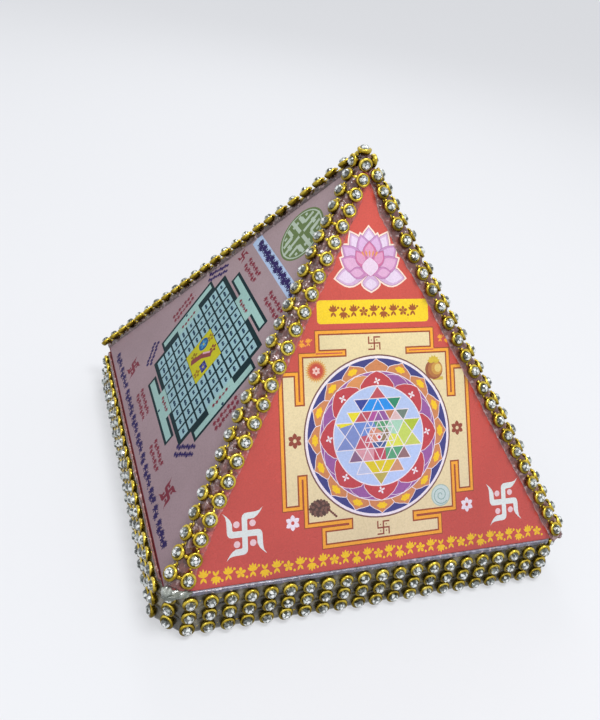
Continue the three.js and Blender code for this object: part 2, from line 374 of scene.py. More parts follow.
# One print: a thin slab whose outer side is cut up along the artwork's outlines.
def printSheet(side, art, material, slot):
    tipHalf = sheetSize["tipFlat"] / 2
    setback = sheetSize["setback"]
    tip = slant * (1 - tipHalf / half)
    thick = sheetSize["thickness"]
    footHalf, tipHalf = half - setback, tipHalf - setback
    sheet = [(-footHalf, 0), (footHalf, 0), (tipHalf, tip), (-tipHalf, tip)]
    points, faces = [], []
    for shape in [sheet, *(shape for shape, _ in art.shapes)]:
        faces.append(list(range(len(points), len(points) + len(shape))))
        points.extend(Vector(p) for p in shape)
    flat, _, cells, _, _, owners = delaunay_2d_cdt(points, [], faces, 2, 1e-4, True)
    mesh, inks = newMesh("ink")
    corners = [mesh.verts.new(facePoint(side, p.x, p.y) * mm) for p in flat]
    for cell, owner in zip(cells, owners):
        if not owner or 0 not in owner or len(set(cell)) < 3:
            continue
        top = max(owner)
        colour = art.shapes[top - 1][1] if top else art.ground
        if callable(colour):
            middle = sum((flat[i] for i in cell), Vector((0, 0))) / len(cell)
            colour = colour(middle.x, middle.y)
        paint(mesh.faces.new([corners[i] for i in cell]), inks, colour)
    bmesh.ops.delete(mesh, geom=[v for v in mesh.verts if not v.link_faces], context="VERTS")
    bmesh.ops.recalc_face_normals(mesh, faces=mesh.faces[:])
    if mesh.faces[0].normal.dot(faceNormal(side)) < 0:
        bmesh.ops.reverse_faces(mesh, faces=mesh.faces[:])
    # its back, drawn in along the slanted edges and above the plinth
    rim = [edge for edge in mesh.edges if edge.is_boundary]
    made = bmesh.ops.extrude_edge_only(mesh, edges=rim)["geom"]
    for vert in [v for v in made if isinstance(v, bmesh.types.BMVert)]:
        x, _, z = quarterTurned(vert.co / mm, -sideTurns[side] % 4)
        upSlope = max((z - plinthTop) / faceOut, thick * faceUp / faceOut)
        across = x - copysign(min(faceOut * thick, abs(x)), x) * min(1, 20 * abs(x) / half)
        vert.co = facePoint(side, across, upSlope, -thick) * mm
    edges = [e for e in made if isinstance(e, bmesh.types.BMEdge)]
    bmesh.ops.edgeloop_fill(mesh, edges=[e for e in edges if e.is_boundary])
    for face in made:
        if isinstance(face, bmesh.types.BMFace):
            paint(face, inks, sheetSize["backColour"])
    settle("printedSheet_" + side, mesh, [material], slot, "printed_sheet_" + side)


redInks = {
    "ground": ink(208, 80, 67),
    "cream": ink(240, 222, 168),
    "line": ink(255, 174, 46),
    "lineEdge": ink(158, 72, 34),
    "rim": ink(120, 78, 74),
    "navy": ink(58, 60, 128),
    "petal": ink(214, 138, 84),
    "orange": ink(228, 152, 86),
    "yellow": ink(255, 208, 20),
    "banner": ink(254, 216, 24),
    "bannerMark": ink(164, 84, 22),
    "purple": ink(158, 92, 158),
    "redPetal": ink(200, 66, 72),
    "white": ink(250, 240, 238),
    "mint": ink(236, 246, 230),
    "pale": ink(248, 214, 208),
    "sky": ink(190, 210, 242),
    "brown": ink(150, 66, 44),
}
quadrants = ((1, 1), (-1, 1), (-1, -1), (1, -1))


# Hooked cross of the yantras, right-facing: four round-elbowed arms ending in a curved point,
# with a dot in each quarter
def hookedCross(art, x, y, size, colour, dotColour=None, thick=0.27, narrow=1.0):
    h = thick / 2
    arm = [
        (-h, -h), (h, -h), (h, 0.84 - thick), (h + 0.04, 0.88 - thick), (0.46, 0.89 - thick),
        (0.64, 0.72), (0.78, 0.86), (0.94, 1.08), (0.76, 0.94), (0.58, 0.9), (0.4, 0.89), (0.1, 0.88),
        (h - 0.14, 0.86), (0.03 - h, 0.78), (-h, 0.66),
    ]
    for i in range(4):
        turned = placed(arm, 0, 0, -i * pi / 2, size)
        art.add([(x + px * narrow, y + py) for px, py in turned], colour)
    for dx, dy in quadrants if dotColour else ():
        art.addDisc(x + dx * 0.4 * size * narrow, y + dy * 0.42 * size, 0.145 * size, 12, dotColour)


# The same with thin square arms
def thinCross(art, x, y, size, colour):
    h = 0.11
    arm = [(-h, -h), (h, -h), (h, 1 - 2 * h), (1, 1 - 2 * h), (1, 1), (-h, 1)]
    for i, (dx, dy) in enumerate(quadrants):
        art.add(placed(arm, x, y, -i * pi / 2, size), colour)
        art.addDisc(x + dx * 0.46 * size, y + dy * 0.46 * size, 0.1 * size, 8, colour)


def blossom(art, x, y, radius, colour, heart, count=6):
    for i in range(count):
        art.add(placed(leaf(1, 0.62, 0.6, 5), x, y, i * tau / count, radius), colour)
    art.addDisc(x, y, radius * 0.24, 10, heart)


# A running border of sprigs and small flowers
def leafRow(art, x0, x1, y, height, colour, angle=0.0, pitch=0.8, stem=0.0):
    count = max(round((x1 - x0) / (height * pitch)), 1)
    step = (x1 - x0) / count
    c, s = cos(angle), sin(angle)
    if stem:
        art.add(stroke([(x0, y), (x0 + (x1 - x0) * c, y + (x1 - x0) * s)], stem * height), colour)
    flower = [(k * tau / 5, 0.36, 0.22, 0.6) for k in range(5)]
    sprig = [
        *((lean, reach, 0.17, 0.55) for lean, reach in (
            (-0.95, 0.42), (-0.45, 0.5), (0, 0.54), (0.45, 0.5), (0.95, 0.42),
        )),
        *((pi + lean, 0.4, 0.16, 0.5) for lean in (-0.5, 0.5)),
    ]
    for i in range(count):
        px, py = x0 + (i + 0.5) * step * c, y + (i + 0.5) * step * s
        turn = angle if i % 4 == 3 else angle + pi * (i % 2)
        for lean, *form in flower if i % 4 == 3 else sprig:
            art.add(placed(leaf(*form, 4), px, py, turn + lean, height), colour)
        dotY = py + 0.5 * step * s + 0.3 * height * (-1) ** i
        art.addDisc(px + 0.5 * step * c, dotY, height * 0.09, 6, colour)


# Square with a gate on each side, as a closed outline round a middle. The gates are the right
# one, the top one and so on, each with the reach of its bar's inner side.
def gatedSquare(cx, cy, square, neck, underBars, barHalf, barTop):
    outline = []
    for turns, underBar in enumerate(underBars):
        lower = [(square, -neck), (underBar, -neck), (underBar, -barHalf), (barTop, -barHalf)]
        upper = [(x, -y) for x, y in reversed(lower)]
        for x, y in [*lower, *upper, (square, square)]:
            corner = quarterTurned((x, y, 0), turns)
            outline.append((cx + corner.x, cy + corner.y))
    return outline


def roundYantra(art, cx, cy):
    inks = redInks

    def rings(count, *sizes):
        for radius, colour in sizes:
            art.addDisc(cx, cy, radius, count, inks[colour])

    # petals from the right half of their outline and the height of their tip
    def petals(colours, turn, rim, tip, right):
        left = [(-x, y) for x, y in right]
        outline = [left[0], *right, (0, tip), *left[:0:-1]]
        for i, colour in enumerate(colours):
            shape = placed(outline, cx, cy, (i + turn) * tau / len(colours))
            art.outlined(shape, inks[colour], inks["white"], rim)

    def marks(numbers, count, out, shape, turns, colour):
        for i in numbers:
            angle = i * tau / count
            x, y = cx - out * sin(angle), cy + out * cos(angle)
            for turn, size in turns:
                art.add(placed(shape, x, y, angle + turn, size), inks[colour])

    rings(72, (19.0, "rim"), (18.65, "white"), (18.05, "navy"))
    right = [(2.9, 12.6), (3.35, 14.6), (2.95, 16.0), (1.9, 16.75), (0.8, 17.3)]
    petals(["petal"] * 16, 0, 0.14, 17.9, right)
    clusters = ((0.0, 0.8), (0.8, 1.05), (1.57, 1.4), (2.35, 1.0), (3.14, 0.7))
    turns = [(turn, reach) for lean, reach in clusters for turn in (lean, -lean)]
    marks(range(1, 16), 16, 16.2, leaf(1, 0.62, 0.55, 5), turns, "yellow")
    rings(64, (15.1, "white"), (14.9, "purple"))
    colours = ["orange"] + ["purple"] * 7
    petals(colours, 0.5, 0.11, 14.9, [(4.7, 10.4), (4.9, 11.9), (3.8, 13.3), (2.0, 14.4)])
    petals(["redPetal"] * 8, 0, 0.13, 15.0, [(4.4, 10.2), (4.3, 11.7), (3.2, 13.2), (1.6, 14.4)])
    turns = [(turn * pi / 2 + 0.4, 1) for turn in range(4)]
    marks(range(8), 8, 12.7, leaf(0.95, 0.5, 0.55, 4), turns, "white")
    rings(64, (11.75, "white"), (11.5, "sky"))
    nineTriangles(art, cx, cy, 11.5)


# Colours for the fields between the triangles, each with its place in a disc of radius 1
triangleInks = [(x, y, ink(*colour)) for x, y, *colour in (
    (0.0, 0.86, 200, 84, 92), (0.0, 0.64, 30, 152, 236), (-0.15, 0.67, 30, 152, 236),
    (0.15, 0.67, 30, 152, 236), (-0.36, 0.64, 52, 66, 150), (0.36, 0.64, 40, 144, 104),
    (-0.56, 0.42, 246, 232, 40), (-0.34, 0.38, 204, 84, 96), (-0.15, 0.44, 190, 84, 160),
    (0.06, 0.4, 156, 92, 160), (0.22, 0.46, 206, 134, 90), (0.36, 0.38, 234, 198, 190),
    (0.56, 0.4, 114, 134, 118), (-0.6, 0.0, 132, 150, 204), (-0.3, 0.18, 116, 150, 214),
    (-0.3, -0.12, 206, 90, 104), (0.54, 0.0, 204, 224, 98), (0.66, 0.26, 184, 204, 48),
    (0.68, -0.28, 206, 216, 98), (0.36, 0.18, 176, 222, 188), (0.34, -0.14, 230, 234, 84),
    (0.08, 0.24, 92, 168, 112), (-0.08, 0.0, 226, 150, 120), (0.1, -0.02, 150, 128, 90),
    (0.0, -0.22, 66, 96, 150), (-0.54, -0.38, 140, 102, 132), (-0.34, -0.32, 226, 160, 166),
    (0.0, -0.36, 202, 74, 92), (0.34, -0.34, 88, 166, 118), (0.56, -0.38, 150, 112, 110),
    (-0.36, -0.6, 196, 206, 230), (0.0, -0.6, 234, 212, 30), (-0.2, -0.56, 234, 212, 30),
    (0.2, -0.56, 234, 212, 30), (0.36, -0.6, 214, 152, 112), (0.0, -0.86, 194, 178, 84),
)]


# The nine interlocking triangles, on the traditional 48-part upright: the level lines stand at
# 6, 12, 17, 20, 23, 27, 30, 36 and 42 parts, and each is trimmed by the parts below.
def nineTriangles(art, cx, cy, radius):
    unit = radius / 24
    levels = [18, 12, 7, 4, 1, -3, -6, -12, -18]
    trims = [3, 4, 0, 16, 18, 16, 0, 4, 3]
    tips = [-3, -18, -24, -12, -6, 12, 24, 18, 7]
    triangles = []
    for level, trim, tip in zip(levels, trims, tips):
        reach = sqrt(24 ** 2 - level ** 2) - trim
        corners = (reach, level), (-reach, level), (0, tip)
        triangles.append([(cx + x * unit, cy + y * unit) for x, y in corners])

    def cellColour(x, y):
        def away(spot):
            return hypot(spot[0] * radius - x + cx, spot[1] * radius - y + cy)
        return min(triangleInks, key=away)[2]

    for corners in triangles:
        art.add(corners, cellColour)
    for corners in triangles:
        for ends in sidesOf(corners):
            art.add(stroke(ends, 0.2), redInks["white"])
    art.addDisc(cx, cy - 0.4, 0.75, 12, redInks["white"])
    art.addDisc(cx, cy - 0.4, 0.4, 10, ink(214, 60, 70))


# Open lotus with a pale rim of light: back petals first, each paler towards its tip
def lotus(art, x, y):
    layers = {
        "back": (ink(214, 178, 214), ink(234, 214, 236)),
        "upper": (ink(200, 146, 196), ink(222, 182, 222)),
        "side": (ink(204, 136, 186), ink(228, 176, 212)),
        "front": (ink(210, 112, 158), ink(226, 158, 196)),
    }
    # angle to either side, length, width, lift and layer
    petals = [
        (0, 10.2, 4.4, 1.0, "back"), (27, 10.4, 4.2, 0.6, "back"), (14, 9.0, 4.0, 0.8, "upper"),
        (47, 9.6, 4.2, 0.4, "upper"), (0, 6.8, 3.6, 1.2, "front"), (98, 9.0, 4.4, 0.4, "back"),
        (64, 8.2, 4.2, 0.2, "side"), (180, 4.4, 4.2, 0.6, "back"), (34, 6.4, 3.0, 0.4, "front"),
        (86, 5.4, 2.8, 0.2, "side"),
    ]
    shapes = []
    for angle, length, width, lift, layer in petals:
        for turn in (angle, -angle) if angle % 180 else (angle,):
            turn = radians(turn)
            shape = placed(leaf(length, width, 0.6, 9), x, y + lift, turn)
            art.add(grown(shape, 0.5), ink(252, 228, 212))
            shapes.append((shape, turn, length, width, lift, *layers[layer]))
    for shape, turn, length, width, lift, deep, pale in shapes:
        art.outlined(shape, deep, ink(164, 108, 152), 0.11)
        start = length * 0.34
        tipX, tipY = x - start * sin(turn), y + lift + start * cos(turn)
        art.add(placed(leaf(length * 0.6, width * 0.72, 0.5, 7), tipX, tipY, turn), pale)
    art.outlined(placed(leaf(4.6, 4.2, 0.5, 9), x, y - 0.4), ink(238, 214, 234), ink(204, 110, 160), 0.12)
    for lean in (-0.5, -0.25, 0, 0.25, 0.5):
        art.add(placed(leaf(1.7, 0.5, 0.6, 4), x + lean * 2.6, y + 4.2, -lean), ink(232, 156, 84))


def cornerPictures(art):
    # sun disc
    x, y = -14.7, 45.2
    for reach, turn, colour in ((2.75, 0.0, ink(230, 176, 92)), (2.25, 0.12, ink(218, 116, 62))):
        for i in range(26):
            art.add(placed(leaf(reach, 0.62, 0.6, 4), x, y, turn + i * tau / 26), colour)
    art.addDisc(x, y, 1.6, 20, ink(206, 78, 58))
    blossom(art, x, y, 1.05, ink(250, 206, 190), ink(196, 52, 44))
    # round pot with a leafy mouth
    art.add(rectangle(15.6, 41.6, 18.4, 42.4), ink(214, 184, 74))
    for x, y, radius, squash, colour in (
        (16.0, 44.2, 2.4, 1.0, ink(158, 88, 50)), (16.35, 44.3, 2.0, 1.0, ink(184, 118, 58)),
        (16.8, 44.4, 1.5, 1.0, ink(212, 158, 70)), (17.1, 44.5, 0.9, 1.1, ink(236, 208, 116)),
    ):
        art.add(disc(x, y, radius, 24, squash), colour)
    for lean in (-1.25, -0.75, -0.25, 0.25, 0.75, 1.25):
        art.add(placed(leaf(1.8, 0.9, 0.5, 4), 16.0, 45.9, -lean), ink(222, 192, 56))
    # coil of dark beads
    x, y, squash = -15.1, 14.2, 0.74
    art.add(disc(x, y, 2.4, 20, squash), ink(66, 44, 38))
    for ring, count in ((2.3, 18), (1.6, 13), (0.8, 7)):
        for i, (beadX, beadY) in enumerate(disc(x, y, ring, count, squash)):
            art.addDisc(beadX, beadY, 0.38, 8, ink(84, 54, 44) if i % 2 else ink(122, 84, 68))
    for i in range(5):
        art.addDisc(-12.7 + 0.4 * i, 13.5 - 0.38 * i, 0.3, 8, ink(112, 52, 44))
    # pale spiral disc
    x, y = 16.3, 14.0
    art.addDisc(x, y, 2.6, 28, ink(176, 200, 180))
    art.addDisc(x, y, 2.35, 28, ink(208, 226, 212))
    spiral = [placed([(0.25 + 0.058 * i, 0)], x, y, 0.36 * i)[0] for i in range(34)]
    for ends in zip(spiral, spiral[1:]):
        art.add(stroke(ends, 0.2), ink(140, 176, 160))


def redArtwork():
    inks = redInks
    art = Art(inks["ground"])
    lotus(art, 0.1, 67.3)
    art.add(roundedRectangle(-14.0, 55.9, 15.1, 61.4, 0.9), inks["banner"])
    # gated square in its double line
    gates = gatedSquare(0.75, 29.7, 19.15, 8.35, (20.35, 19.65, 20.35, 20.45), 15.0, 24.25)
    for distance, colour in ((0.62, "lineEdge"), (0.38, "line"), (-0.3, "lineEdge"), (-0.66, "cream")):
        art.add(grown(gates, distance), inks[colour])
    roundYantra(art, 0.6, 29.45)
    cornerPictures(art)
    for x, y in ((0.3, 51.1), (0.7, 8.1)):
        thinCross(art, x, y, 1.6, inks["brown"])
    for x, y, colour, heart in (
        (-20.5, 29.7, "brown", "cream"), (21.7, 29.7, "brown", "cream"),
        (-21.7, 11.6, "white", "ground"), (23.4, 11.0, "white", "ground"),
    ):
        blossom(art, x, y, 1.8, inks[colour], inks[heart])
    for x in (-32.9, 34.0):
        hookedCross(art, x, 10.6, 5.1, inks["mint"], inks["pale"], narrow=0.9)
    for x0, x1, y, height, colour in (
        (-11.2, 12.2, 58.6, 3.4, "bannerMark"), (-20.4, -15.6, 51.7, 2.2, "line"),
        (17.2, 20.8, 51.6, 2.2, "line"), (-43.8, 44.8, 2.35, 3.5, "yellow"),
    ):
        leafRow(art, x0, x1, y, height, inks[colour])
    return art


greyInks = {
    "ground": ink(172, 150, 154),
    "teal": ink(0, 40, 46),
    "cell": ink(160, 200, 206),
    "gate": ink(164, 204, 196),
    "mark": ink(26, 60, 84),
    "banner": ink(182, 204, 236),
    "navy": ink(46, 32, 92),
    "redMark": ink(132, 48, 64),
    "olive": ink(104, 124, 76),
    "oliveLine": ink(184, 198, 180),
    "yellow": ink(204, 200, 30),
    "hem": ink(122, 34, 44),
}


# Round fret: bars and hooks cut out of a green disc
def roundFret(art, x, y, radius):
    olive, line = greyInks["olive"], greyInks["oliveLine"]
    for share, colour in ((1, olive), (0.93, line), (0.88, olive)):
        art.addDisc(x, y, radius * share, 48, colour)
    for i in range(4):
        for path in (
            [(0, 0), (0, 0.94)],
            [(-0.3, 0.78), (-0.3, 0.34), (-0.66, 0.34)],
            [(0.3, 0.78), (0.3, 0.34)],
            [(-0.54, 0.6), (-0.54, 0.5)],
            [(-0.12, 0.6), (0.16, 0.6)],
        ):
            for ends in zip(path, path[1:]):
                art.add(placed(stroke(ends, 0.13), x, y, i * pi / 2, radius), line)
    art.addDisc(x, y, radius * 0.12, 14, olive)


numberSquare = {
    "middle": (0.35, 31.6),
    "perSide": 9,
    "cell": (34.6 / 9, 30.6 / 9),
    "gap": (0.34, 0.3),  # from a cell's border to its printed field
    "yellowHalf": (6.0, 5.25),
    # outside and inside of each gate's bar, then the necks that join them to the square
    "bars": (
        ((-12.6, 48.7, 13.8, 52.2), (-11.8, 49.4, 13.0, 51.3)),
        ((-13.0, 11.1, 13.5, 14.8), (-12.2, 11.9, 12.8, 13.9)),
        ((-22.1, 20.1, -17.0, 43.4), (-21.2, 20.9, -19.2, 42.6)),
        ((17.4, 20.2, 22.6, 43.8), (19.8, 21.0, 21.8, 43.0)),
    ),
    "necks": (
        (-4.5, 46.9, 5.8, 49.9), (-4.8, 13.5, 5.5, 16.4),
        (-19.8, 26.8, -16.6, 36.3), (17.3, 26.9, 20.4, 36.8),
    ),
}


def gatedGrid(art):
    inks = greyInks
    cx, cy = numberSquare["middle"]
    for outside, inside in numberSquare["bars"]:
        art.add(rectangle(*outside), inks["teal"])
        art.add(rectangle(*inside), inks["gate"])
    art.add(rectangle(-17.8, 15.3, 18.5, 48.0), inks["teal"])
    for neck in numberSquare["necks"]:
        art.add(rectangle(*neck), inks["gate"])
    for x, y, angle in ((-3.2, 16.7, 0), (-3.2, -16.8, 0), (-18.5, -3.2, 1), (18.6, -3.2, 1)):
        start = cx + x
        leafRow(art, start, start + 6.4, cy + y, 1.5, inks["redMark"], angle * pi / 2, 0.8, 0.14)
    for x, y in ((0.4, 19.2), (0, -19.2), (-21.0, 0), (21.0, 0)):
        art.addDisc(cx + x, cy + y, 0.45, 8, inks["mark"])
    wide, high = numberSquare["cell"]
    w, h = (size / 2 - gap for size, gap in zip(numberSquare["cell"], numberSquare["gap"]))
    for row in range(9):
        for column in range(9):
            if 3 <= row < 6 and 3 <= column < 6:
                continue
            x, y = cx + (column - 4) * wide, cy + (row - 4) * high
            art.add(rectangle(x - w, y - h, x + w, y + h), inks["cell"])
            size = 0.9 + 0.4 * ((row * 5 + column * 3) % 4) / 3
            for turn, reach in ((1.57, size), (0.9, 0.8), (2.3, 0.6)):
                for lean in (turn, -turn):
                    art.add(placed(leaf(1, 0.62, 0.5, 4), x, y, lean, reach), inks["mark"])
    # yellow middle with small flowers
    w, h = numberSquare["yellowHalf"]
    art.add(rectangle(cx - w, cy - h, cx + w, cy + h), inks["yellow"])
    art.addDisc(cx - 3.6, cy + 1.5, 1.9, 16, ink(40, 96, 150))
    art.add(rectangle(cx + 1.8, cy - 2.4, cx + 5.0, cy - 0.1), ink(44, 44, 110))
    for x, y, *colour in (
        (-3.6, 1.5, 70, 150, 200), (1.4, 3.6, 140, 60, 50), (3.4, -1.3, 90, 90, 160),
        (-3.2, -2.7, 150, 120, 24), (3.2, -3.9, 160, 120, 24), (-3.0, 4.3, 160, 130, 24),
    ):
        blossom(art, cx + x, cy + y, 1.4, ink(*colour), inks["yellow"], 5)
    for path, width, colour in (
        ([(-2.4, -4.4), (-0.6, -0.4), (2.4, 2.6)], 1.7, ink(144, 70, 70)),
        ([(-0.9, 0.2), (1.4, 2.4)], 0.5, ink(226, 176, 190)),
    ):
        art.add(stroke([(cx + x, cy + y) for x, y in path], width), colour)


def greyArtwork():
    inks = greyInks
    red, navy = inks["redMark"], inks["navy"]
    art = Art(inks["ground"])
    roundFret(art, 0.4, 71.8, 7.6)
    art.add(rectangle(-16.2, 59.5, 16.4, 63.2), inks["banner"])
    leafRow(art, -13.8, 15.0, 61.4, 3.2, navy, pitch=0.5, stem=0.2)
    gatedGrid(art)
    # small red borders in pairs, level and upright, and slanting navy ones
    for x0, x1, top in ((-12.6, -3.0, 56.5), (6.0, 16.4, 56.5), (-14.6, -3.2, 8.5), (8.0, 18.0, 8.5)):
        for y in (top, top - 2):
            leafRow(art, x0, x1, y, 1.9, red, pitch=0.75, stem=0.13)
    for x in (-26.2, -24.2, 24.2, 26.0):
        leafRow(art, x, x + 9.4, 26.8, 1.9, red, pi / 2, 0.75, 0.13)
    for x, y, angle, reach in ((-24.6, 19.4, -46, 7.6), (17.9, 14.5, 42, 8.4), (-25.0, 43.6, 53, 8.6)):
        turn = radians(angle)
        for apart in (0, 1.9):
            start = x + apart * sin(turn)
            leafRow(art, start, start + reach, y - apart * cos(turn), 1.8, navy, turn, 0.6, 0.2)
    hookedCross(art, -16.4, 55.4, 1.9, red, thick=0.32)
    for x, y in ((-26.8, 7.6), (27.5, 8.0)):
        hookedCross(art, x, y, 2.8, red, red, 0.34)
    for x0, x1 in (
        (-40.6, -33.6), (-32.8, -22.4), (-21.2, -9.8), (-9.0, -1.6), (-0.8, 6.4),
        (7.4, 10.8), (11.8, 19.8), (20.6, 25.6), (26.6, 30.6), (31.6, 40.2),
    ):
        leafRow(art, x0, x1, 3.0, 2.8, navy, pitch=0.68, stem=0.15)
    art.add(rectangle(-52, -0.2, 52, 0.42), inks["hem"])
    return art


redArt = redArtwork()
greyArt = greyArtwork()
for side in ("front", "back"):
    printSheet(side, redArt, redPrint, "red_print")
for side in ("left", "right"):
    printSheet(side, greyArt, greyPrint, "grey_print")
print("prints ready")


cupShape = {
    "segments": 18,
    "linkRadius": 0.26,
    "linkSegments": 8,
    "profile": [
        (0.95, 0.0), (1.32, 0.06), (1.54, 0.34), (1.7, 0.7), (1.78, 0.98), (1.78, 1.12), (1.73, 1.28),
        (1.62, 1.4), (1.46, 1.45), (1.3, 1.44), (1.18, 1.37), (1.15, 1.2),
    ],
}
# Painted shade on the cups' gold: darker at their backs and on their lower sides
cupShade = {
    "unshaded": 1.2,  # height above a cup's back from which its gold has no painted shade
    "depth": 1.1,
    "shade": (0.31, 0.29, 0.2),
}


# How far the gold of a cup is darkened as painted shade: at its back, and by a share of under on its lower
# side
def goldShadeTint(height, lean, under):
    behind = min(max((cupShade["unshaded"] - height) / cupShade["depth"], 0), 1)
    below = under * min(max((0.3 + 0.2 * under - lean) / 0.9, 0), 1)
    share = min(behind + below, 1)
    return (*(1 + (shade - 1) * share for shade in cupShade["shade"]), 1)


# Adds a lathe form between two closed ends to a mesh under construction. With under given, its gold carries
# painted shade, darker at the back and on the lower side.
def addTurned(mesh, tints, matrix, profile, segments, under=None):
    spots = disc(0, 0, 1, segments)
    rings = []
    for radius, height in profile:
        ring = []
        for c, s in spots:
            lean = matrix[2][0] * c + matrix[2][1] * s
            # painted shade: the gold's tint darkens at the cup's back and on its lower side
            tint = grey(1) if under is None else goldShadeTint(height, lean, under)
            ring.append((mesh.verts.new(matrix @ Vector((radius * c, radius * s, height)) * mm), tint))
        rings.append(ring)

    def wall(corners):
        face = mesh.faces.new([vert for vert, _ in corners])
        face.smooth = True
        for loop, (_, tint) in zip(face.loops, corners):
            loop[tints] = tint

    for low, high in zip(rings, rings[1:]):
        for i in range(segments):
            j = (i + 1) % segments
            wall((low[i], low[j], high[j], high[i]))
    wall(rings[0][::-1])
    wall(rings[-1])


# Radius and height of each ring of a stone's corners
stoneCut = {
    "seat": (1.13, 1.2),
    "girdle": (1.13, 1.36),
    "middle": (1.05, 1.84),
    "table": (0.68, 2.14),
    "heart": (0.4, 2.15),
}
# Facet tones: painted reflections of bright and dark surroundings
rimFacets = [ink(232, 237, 235), ink(172, 180, 176), ink(100, 106, 102)]
darkFacets = [ink(62, 66, 62), ink(88, 92, 88), ink(122, 126, 122)]
paleFacets = [ink(216, 223, 218), ink(250, 253, 251), ink(196, 203, 198)]


# Brilliant-cut crown in the cup's mouth, with painted reflections in its facets: the foil's star
# painted in its table, a painted white highlight at its heart, and its pale facets towards shine
def addStone(mesh, matrix, tints, luck, shine):
    def ring(name, count, turn=0.0):
        radius, level = stoneCut[name]
        angles = [(i + turn) * tau / count for i in range(count)]
        spots = [Vector((radius * cos(a), radius * sin(a), level)) for a in angles]
        return [mesh.verts.new(matrix @ spot * mm) for spot in spots]

    g = ring("girdle", 16)
    m = ring("middle", 8)
    t = ring("table", 8, 0.5)
    h = ring("heart", 8)
    seat = ring("seat", 16)
    turned = matrix.to_3x3()

    def facet(corners, colour):
        face = mesh.faces.new(corners)
        face.material_index = 1
        paint(face, tints, colour)

    def tone(i, pattern):
        angle = (i + 0.5) * tau / 8
        towards = (turned @ Vector((cos(angle), sin(angle), 0))).dot(shine)
        # painted light: facets turned towards shine are mostly pale, those turned away mostly dark
        if luck.random() < 0.9 * abs(towards):
            pattern = paleFacets if towards > 0 else darkFacets
        return luck.choice(pattern)

    # painted highlight: a white glint at the table's heart
    facet(h, ink(252, 253, 252))
    for i in range(8):
        j = (i + 1) % 8
        # painted reflection of the foil's star in the table
        facet((h[i], t[i], h[j]), tone(i, darkFacets))
        facet((h[j], t[i], t[j]), tone(i, paleFacets if i % 2 else darkFacets))
        # star, kite and girdle facets
        facet((t[i], m[j], t[j]), tone(i, rimFacets))
        facet((m[i], g[2 * i + 1], m[j], t[i]), tone(i, darkFacets if i % 2 else paleFacets))
        facet((m[i], g[2 * i], g[2 * i + 1]), tone(i, rimFacets))
        facet((m[j], g[2 * i + 1], g[2 * j]), tone(i, rimFacets))
    for i in range(16):
        j = (i + 1) % 16
        facet((seat[i], seat[j], g[j], g[i]), rimFacets[2])
    facet(seat[::-1], rimFacets[2])


# A cup with its stone, a little uneven as set by hand, the same at each run. Under is how far its
# gold is darkened below as painted shade, and shine the way its stone's painted pale facets face.
def addSetStone(mesh, tints, place, luck, lean=0.06, shift=0.1, under=0.6, shine=(0, 0, -0.7)):
    at, out, along = place
    across = out.cross(along)
    tilted = (out + along * luck.uniform(-lean, lean) + across * luck.uniform(-lean, lean)).normalized()
    at = at + along * luck.uniform(-shift, shift) + across * luck.uniform(-shift, shift)
    across = tilted.cross(along).normalized()
    turn = Matrix((across.cross(tilted), across, tilted)).transposed().to_4x4()
    matrix = Matrix.Translation(at) @ turn @ Matrix.Rotation(luck.uniform(0, tau), 4, "Z")
    addTurned(mesh, tints, matrix, cupShape["profile"], cupShape["segments"], under)
    addStone(mesh, matrix, tints, luck, Vector(shine))


# A thin neck from cup to cup with a bead at its middle
def addLink(mesh, tints, start, end, beadRadius):
    run = end - start
    along = run.normalized()
    side = along.orthogonal().normalized()
    turn = Matrix((side, along.cross(side), along)).transposed().to_4x4()
    neck = cupShape["linkRadius"]
    middle = run.length / 2
    bead = [(beadRadius * sin(a), middle - beadRadius * cos(a)) for a in (0.9, 1.3, 1.7, 2.24)]
    profile = [(neck, 0), *bead, (neck, run.length)]
    addTurned(mesh, tints, Matrix.Translation(start) @ turn, profile, cupShape["linkSegments"])


# A link between two seats, from a height above the back of each cup
def joinCups(mesh, tints, first, second, lift, beadRadius):
    addLink(mesh, tints, first[0] + first[1] * lift, second[0] + second[1] * lift, beadRadius)


plinthRows = {
    "levels": [9.6, 5.75, 1.95],
    # how far each row's gold darkens on its lower side, as painted shade
    "unders": [1.4, 2.4, 2.4],
    "perSide": 21,
    "pitch": 4.53,
    "unevenness": 0.05,
    "linkLift": 0.2,
    "bead": 0.28,
    "bedHalfHeight": 2.05,
    "bedThickness": 0.7,
    "bedReach": (0.05, 11.4),  # lowest and highest that the beds go
}


# A seat is a point, the way out and the way along.
def plinthPlaces(level):
    frontSeats = []
    for i in range(plinthRows["perSide"]):
        x = (i - (plinthRows["perSide"] - 1) / 2) * plinthRows["pitch"]
        frontSeats.append(((x, -half - glueLine, level), (0, -1, 0), (1, 0, 0)))
    reach = half - pyramid["cornerChamfer"] / 2 + glueLine * sqrt(0.5)
    frontSeats.append(((reach, -reach, level), (1, -1, 0), (1, 1, 0)))
    places = []
    for side in range(4):
        for at, *ways in frontSeats:
            out, along = (quarterTurned(way, side).normalized() for way in ways)
            places.append((quarterTurned(at, side), out, along))
    return places


for number, (level, under) in enumerate(zip(plinthRows["levels"], plinthRows["unders"]), 1):
    luck = random.Random(40 + number)
    mesh, tints = newMesh()
    places = plinthPlaces(level)
    for place in places:
        addSetStone(mesh, tints, place, luck, plinthRows["unevenness"], plinthRows["unevenness"], under)
    for first, second in zip(places, places[1:] + places[:1]):
        joinCups(mesh, tints, first, second, plinthRows["linkLift"], plinthRows["bead"])
    settle(f"stoneRow_{number}", mesh, [gilded, cutStone], "gilt_cups", f"stone_row_{number}")
print("plinth rows ready")
